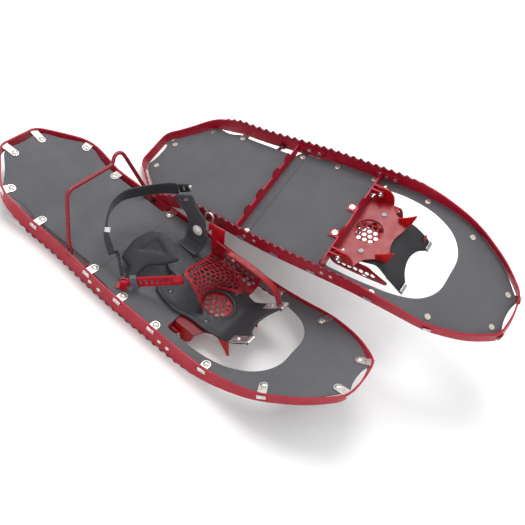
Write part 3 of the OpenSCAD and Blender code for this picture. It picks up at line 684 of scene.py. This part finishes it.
def cradle_sheet():
    """The slack sheet between the wall, the instep strap and the window."""
    back = [(346, 64, 14), (348, 46, 19), (349, 30, 23), (352, 5, 37), (355, -18, 49), (360, -34, 50)]
    middle = [(404, 62, 18), (400, 42, 25), (390, 18, 32), (386, -4, 31), (384, -20, 37), (380, -34, 43)]
    low = [
        (428, 38, 8), (411, 30, 8), (396, 20, 8), (388, 4, 8), (390, -13, 8), (399, -25, 8), (411, -30, 8),
    ]
    rows = [smooth_path(points, 1) for points in (back, middle, low)]
    wide, deep = 100.0, 76.0

    def along(row, s):
        at = s * (len(row) - 1)
        return np.stack([np.interp(at, np.arange(len(row)), row[:, k]) for k in range(3)], 1)

    def place(p):
        s = np.clip(p[:, 0] / wide, 0, 1)
        t = np.clip(p[:, 1] / deep, 0, 1)[:, None]
        a, b, c = (along(row, s) for row in rows)
        return a * (1 - t) * (1 - 2 * t) + 4 * t * (1 - t) * b + c * t * (2 * t - 1)

    edge = 0.5
    outline = [
        (edge, edge, 4), (wide - edge, edge, 6), (wide - edge, deep - edge, 4), (edge, deep - edge, 4),
    ]
    holes = honeycomb(9, wide - 7, 7, deep - 6, lambda x, y: 8 < x < wide - 7 and 6 < y < deep - 6)
    return plate(rounded(outline, 4), holes, place, CRADLE_T, 4.0)


def cradle_flap():
    """The outer side, which hangs free below the footbed of the upside-down shoe."""
    outline = rounded([(372, 7, 4), (440, 7, 4), (474, 22, 6), (470, 32, 5), (430, 34, 10), (384, 30, 8)], 4)
    holes = honeycomb(378, 474, 12, 34, holes_clear_of(outline, 1.2))

    def place(p):
        return np.stack([p[:, 0], -53 - 4 * np.sin(math.pi * (p[:, 1] - 6) / 34), p[:, 1]], 1)

    return plate(outline, holes, place, CRADLE_T, 4.0)


def cradle_rim():
    """The thick band along the wall's top, which turns down to the prong."""
    points = [
        (380, 49, 54.5), (394, 49, 57), (412, 48.5, 58.8), (432, 48, 59.6), (452, 47.5, 58.5),
        (468, 47, 54), (478, 46.5, 45), (483, 46, 35), (484, 45, 27),
    ]
    return sweep(smooth_path(points, 3), (0, 1, 0.25), 10.5, 3.0, 16, 3.5)


def build_cradle(side):
    flap = [cradle_flap()] if side == "left" else []
    v, f = joined(cradle_base(), cradle_wall(), cradle_sheet(), *flap, cradle_rim())
    piece("toe_mesh", side, v, f, "cradle", "binding", ["toe_cradle"])


# ---------------------------------------------------------------- rear of the binding
PAD_POINTS = [
    (0, 0, 5), (22, -4, 5), (27, -25, 2), (37, -25, 2), (38, 14, 6), (56, 30, 6), (70, 50, 6),
    (44, 66, 8), (22, 68, 6), (4, 56, 6), (-4, 32, 6),
]
PAD_RECESS = [(12, 22, 3), (52, 46, 3), (22, 56, 3)]


PAD_X, PAD_Y, PAD_Z, PAD_T = 266, -50, 14, 5.0


def build_pad(side):
    """The padded wing on the near side, leaning outwards, with a sunk triangle."""
    lean = math.radians(26)
    recess = rounded(PAD_RECESS, 4)

    def place(p):
        y, z = p[:, 1], np.full(len(p), PAD_T / 2)
        across = PAD_Y + y * math.cos(lean) - z * math.sin(lean)
        up = PAD_Z + y * math.sin(lean) + z * math.cos(lean)
        return np.stack([PAD_X + p[:, 0], across, up], 1)

    def height(p, d):
        crown = 1.6 * (1 - np.exp(-d / 7))
        deep, _ = edge_distance(p, [recess])
        deep = np.where(inside(p, recess), deep, 0)
        return crown - 2.2 * np.clip(deep / 2.0, 0, 1)

    v, f = plate(rounded(PAD_POINTS, 4), [], place, PAD_T, 2.6, height, 3.0)
    o = piece("heel_cushion", side, v, f, "pad", "binding", ["heel_pad"])


def build_tongue(side):
    """The thin sheet between the pad and the wing, lying on the footbed."""
    points = [(300, 12, 8), (322, -8, 8), (344, -8, 6), (346, 34, 6), (322, 42, 8), (292, 40, 10)]

    def place(p):
        return np.stack([p[:, 0], p[:, 1], np.full(len(p), BED_LOW + BED_T + 1.3)], 1)

    def height(p, d):
        return 0.5 * (1 - np.exp(-d / 8)) + 0.25 * np.sin(p[:, 0] / 4)

    v, f = plate(rounded(points, 4), [], place, 2.0, 3.0, height)
    piece("tongue_sheet", side, v, f, "grey_sheet", "binding", ["tongue"])


ARM_POINTS = [
    (334, 32, 8), (325, 50, 6), (321, 63, 7), (308, 71, 7), (298, 79, 5),
    (288, 92, 4), (260, 70, 4), (268, 56, 4), (286, 52, 8), (296, 34, 8),
]


ARM_FOOT = 22.0
SLOT_X, SLOT_Z, SLOT_TURN = 277, 72.5, 39


def build_arm(side):
    """The wing on the far side: a foot on the footbed, then an upright blade with a slot."""
    section = [
        (40, 10.8), (52, 10.8), (59, 11.6), (61.6, 16), (62.6, 26), (63.6, 46), (63, 68), (61, 94),
    ]
    rise = ARM_FOOT - 12
    points = [(300, 1, 4), (333, 1, 4), (333.5, ARM_FOOT, 2)]
    points += [(x, z + rise, c) for x, z, c in ARM_POINTS]
    points += [(299, ARM_FOOT, 2)]
    turn = math.radians(SLOT_TURN)
    c, s = math.cos(turn), math.sin(turn)
    slot = [
        (SLOT_X + a * c - b * s, SLOT_Z + rise + a * s + b * c, 1.5)
        for a, b in ((-8, -2), (8, -2), (8, 2), (-8, 2))
    ]

    def height(p, d):
        return 0.5 * np.clip(1 - np.abs(d - 2.2) / 2.2, 0, 1)

    profile = smooth_path(section, 1.0)
    v, f = plate(rounded(points, 4), [rounded(slot, 3)], folded(profile), 2.6, 3.2, height)
    piece("ankle_wing", side, v, f, "grey_sheet", "binding", ["ankle_arm"])


LADDER_A, LADDER_B, LADDER_W = np.array([371.0, -32, 50]), np.array([312.0, -70, 18]), 19.0


def build_ladder(side):
    """The instep strap: a straight belt with a row of slots and a narrow tail."""
    v = LADDER_B - LADDER_A
    n = np.linalg.norm(v)
    along = v / n
    across = unit(np.array([-along[1], along[0], 0]))
    up = np.cross(along, across)
    half = LADDER_W / 2
    points = [
        (9, -half, 4), (n + 6, -half, 4), (n + 9, -5, 2), (n + 21, -5, 4),
        (n + 21, 5, 4), (n + 9, 5, 2), (n + 6, half, 4), (9, half, 4),
    ]
    slots = [
        rounded([(s + a, b, 1.4) for a, b in ((-1.5, -4.5), (1.5, -4.5), (1.5, 4.5), (-1.5, 4.5))], 3)
        for s in 30 + 8 * np.arange(6)
    ]

    def place(p):
        return LADDER_A + p[:, :1] * along + p[:, 1:2] * up

    def height(p, d):
        return 0.4 * np.clip(1 - np.abs(d - 1.6) / 1.6, 0, 1)

    w, f = plate(rounded(points, 4), slots, place, 2.5, 2.6, height, 2.5)
    piece("ladder_belt", side, w, f, "strap", "binding", ["ladder_strap"])


def build_ring_strap(side):
    """The far strap: a web, the hem round the wire ring, and the flap that closes the hem."""
    run = [(358.5, 69.5, 7), (354, 69.2, 22), (349, 68.5, 38), (345.5, 67.4, 53), (343, 66.6, 65)]
    web = sweep(smooth_path(run, 2.5), (1, 0, 0.25), 24, 2.5, 20, 5)
    tube = smooth_path([(330, 66.5, 52.4), (330, 66.5, 58), (330, 66.5, 63.6)], 2)
    hem = sweep(tube, (1, 0, 0), 6.2, 6.2, 20, 2)
    flap = sweep([(331, 66.5, 58), (338, 66.6, 58), (345, 66.8, 58)], (0, 0, 1), 11, 2.6, 16, 4)
    v, f = joined(web, hem, flap)
    piece("far_strap", side, v, f, "strap", "binding", ["ring_strap"])


HEEL_PATH = [
    (258, -62, 24), (236, -54, 40), (222, -40, 54), (212, -18, 60), (210, 6, 61),
    (216, 26, 61), (228, 46, 64), (242, 60, 70), (257, 68.5, 77),
]


def build_heel_strap(side):
    v, f = sweep(smooth_path(HEEL_PATH, 2.5), (0, 0, 1), 21, 3.4, 22, 3.5)
    piece("heel_belt", side, v, f, "belt", "heel_loop", ["heel_strap"])


def build_heel_tail(side):
    run = smooth_path([(288, -70, 10), (280, -66.5, 17.5), (270, -61, 26), (262, -58.5, 32)], 2.5)
    v, f = sweep(run, (0, 0, 1), 10, 2.4, 16, 3)
    piece("heel_belt_tail", side, v, f, "belt", "heel_loop", ["heel_strap_tail"])


def build_heel_clip(side):
    """The hook at the heel strap's end, with a metal tip."""
    turn = Matrix.Rotation(math.radians(18), 3, "Z") @ Matrix.Rotation(math.radians(-31), 3, "Y")
    r = np.array(turn)
    at = np.array([266.5, 72.5, 83.0])

    def place(p):
        return at + np.outer(p[:, 0], r[:, 0]) + np.outer(p[:, 1], r[:, 2])

    body = [(-10, -7.5, 3), (10, -6, 3), (10, 6, 3), (-10, 7.5, 3)]
    hole = rounded([(-3, -4, 1.2), (0.5, -4, 1.2), (0.5, 4, 1.2), (-3, 4, 1.2)], 3)
    v, f = plate(rounded(body, 4), [hole], place, 4.4, 2.2, lambda p, d: 0.6 * (1 - np.exp(-d / 3)), 2.0)
    piece("heel_hook", side, v, f, "black", "heel_loop", ["heel_strap_clip"])

    def tip_place(p):
        return place(p) - 0.4 * r[:, 1]

    tip = [(6.5, -5.5, 1.5), (12.5, -4.5, 2), (12.5, 4.5, 2), (6.5, 5.5, 1.5)]
    v, f = plate(rounded(tip, 4), [], tip_place, 5.6, 2.0, None, 2.0)
    piece("heel_hook_tip", side, v, f, "clip", "heel_loop")


# The wire in its own plane: y, the height above its ends, and how much each bend cuts
LIFTER_X, LIFTER_Z, LIFTER_D = 207, -1, 6
LIFTER_LEAN = {"right": 34, "left": 41}
LIFTER_PATH = [
    (-94, 0, 0), (-86, 0, 5), (-86, 14, 8), (-60, 84, 13), (33, 84, 6), (43, 96, 6), (58, 96, 9), (64, 80, 8),
    (86, 14, 8), (86, 0, 5), (94, 0, 0),
]


def build_lifter(side):
    """The bent wire: straight legs, a top bar and a raised hook, with smooth bends."""
    lean = math.radians(LIFTER_LEAN[side])
    line = []
    for i, (y, h, cut) in enumerate(LIFTER_PATH):
        here = np.array([y, h], float)
        if cut == 0:
            line.append(here)
            continue
        before, after = np.array(LIFTER_PATH[i - 1][:2]), np.array(LIFTER_PATH[i + 1][:2])
        line += bend(here, before, after, cut, 8)
    y, h = np.array(line).T
    path = np.stack([LIFTER_X - h * math.sin(lean), y, LIFTER_Z + h * math.cos(lean)], 1)
    out = (-math.cos(lean), 0, -math.sin(lean))
    v, f = sweep(path, out, LIFTER_D, LIFTER_D, 20, 2)
    piece("lifter_wire", side, v, f, "lifter", "lifter", ["heel_lifter"])


PRONG_Y, PRONG_RIVET_X = 43, 476


def build_prong_clips(side):
    """A metal clip round the edge of each prong, with its rivet's head."""
    parts = []
    for y in (-PRONG_Y, PRONG_Y):
        top = [(x, y, float(bed_z(x)) + BED_T + 0.9) for x in (467, 473, 479, 484, 489)]
        wrap = [(493, y, 45.5), (494, y, 41.5), (490.5, y, 38)]
        parts.append(sweep(smooth_path(top + wrap, 1.5), (0, 1, 0), 16, 1.3, 16, 6))
        z = float(bed_z(PRONG_RIVET_X)) + BED_T + 1.4
        tilt = np.array([-0.66, 0, 0.75])
        foot = np.array([PRONG_RIVET_X, y, z])
        head = [foot, foot + tilt * 1.0, foot + tilt * 1.8]
        parts.append(sweep(head, (0, 1, 0), [7, 6, 3], [7, 6, 3], 20, 2))
    v, f = joined(*parts)
    piece("prong_clips", side, v, f, "clip", "binding", ["toe_clips"])


for side in SIDES:
    build_lifter(side)
    build_prong_clips(side)
    build_deck(side)
    build_footbed(side)
    build_cradle(side)
    build_pad(side)
    build_tongue(side)
    build_arm(side)
    build_ladder(side)
    build_ring_strap(side)
    build_heel_strap(side)
    build_heel_tail(side)
    build_heel_clip(side)


# ---------------------------------------------------------------- floor, light and camera
def floor():
    mesh = bpy.data.meshes.new("floor")
    half = 6.0
    corners = [(-half, -half, 0), (half, -half, 0), (half, half, 0), (-half, half, 0)]
    mesh.from_pydata(corners, [], [(0, 1, 2, 3)])
    o = bpy.data.objects.new("floor", mesh)
    bpy.context.scene.collection.objects.link(o)
    m = bpy.data.materials.new("floor")
    m.use_nodes = True
    b = m.node_tree.nodes["Principled BSDF"]
    b.inputs["Base Color"].default_value = (0.93, 0.93, 0.93, 1)
    b.inputs["Roughness"].default_value = 0.9
    mesh.materials.append(m)


def area_light(name, at, size, power, target=(0, 0, 0.05)):
    data = bpy.data.lights.new(name, "AREA")
    data.shape, data.size, data.energy = "DISK", size, power
    o = bpy.data.objects.new(name, data)
    bpy.context.scene.collection.objects.link(o)
    o.location = at
    o.rotation_euler = (Vector(target) - Vector(at)).to_track_quat("-Z", "Y").to_euler()


floor()
world = bpy.data.worlds.new("studio")
bpy.context.scene.world = world
world.use_nodes = True
world.node_tree.nodes["Background"].inputs["Color"].default_value = (1, 1, 1, 1)
world.node_tree.nodes["Background"].inputs["Strength"].default_value = 0.8
area_light("key", (-0.7, 0.5, 2.0), 1.2, 26)
area_light("fill", (1.0, -1.4, 1.6), 1.6, 5)
area_light("back", (0.5, 1.7, 1.4), 1.4, 12)
bpy.context.scene.view_settings.view_transform = "Standard"

CAMERA_AT = (258.0, -728.0, 833.5)
CAMERA_TURN = (41.63, -17.5, 35.34)
cam = bpy.data.objects.new("camera", bpy.data.cameras.new("camera"))
bpy.context.scene.collection.objects.link(cam)
cam.location = Vector(CAMERA_AT) * MM
cam.rotation_euler = [math.radians(a) for a in CAMERA_TURN]
cam.data.sensor_width, cam.data.lens = 36, 49.1
cam.data.clip_start, cam.data.clip_end = 0.01, 50
bpy.context.scene.camera = cam
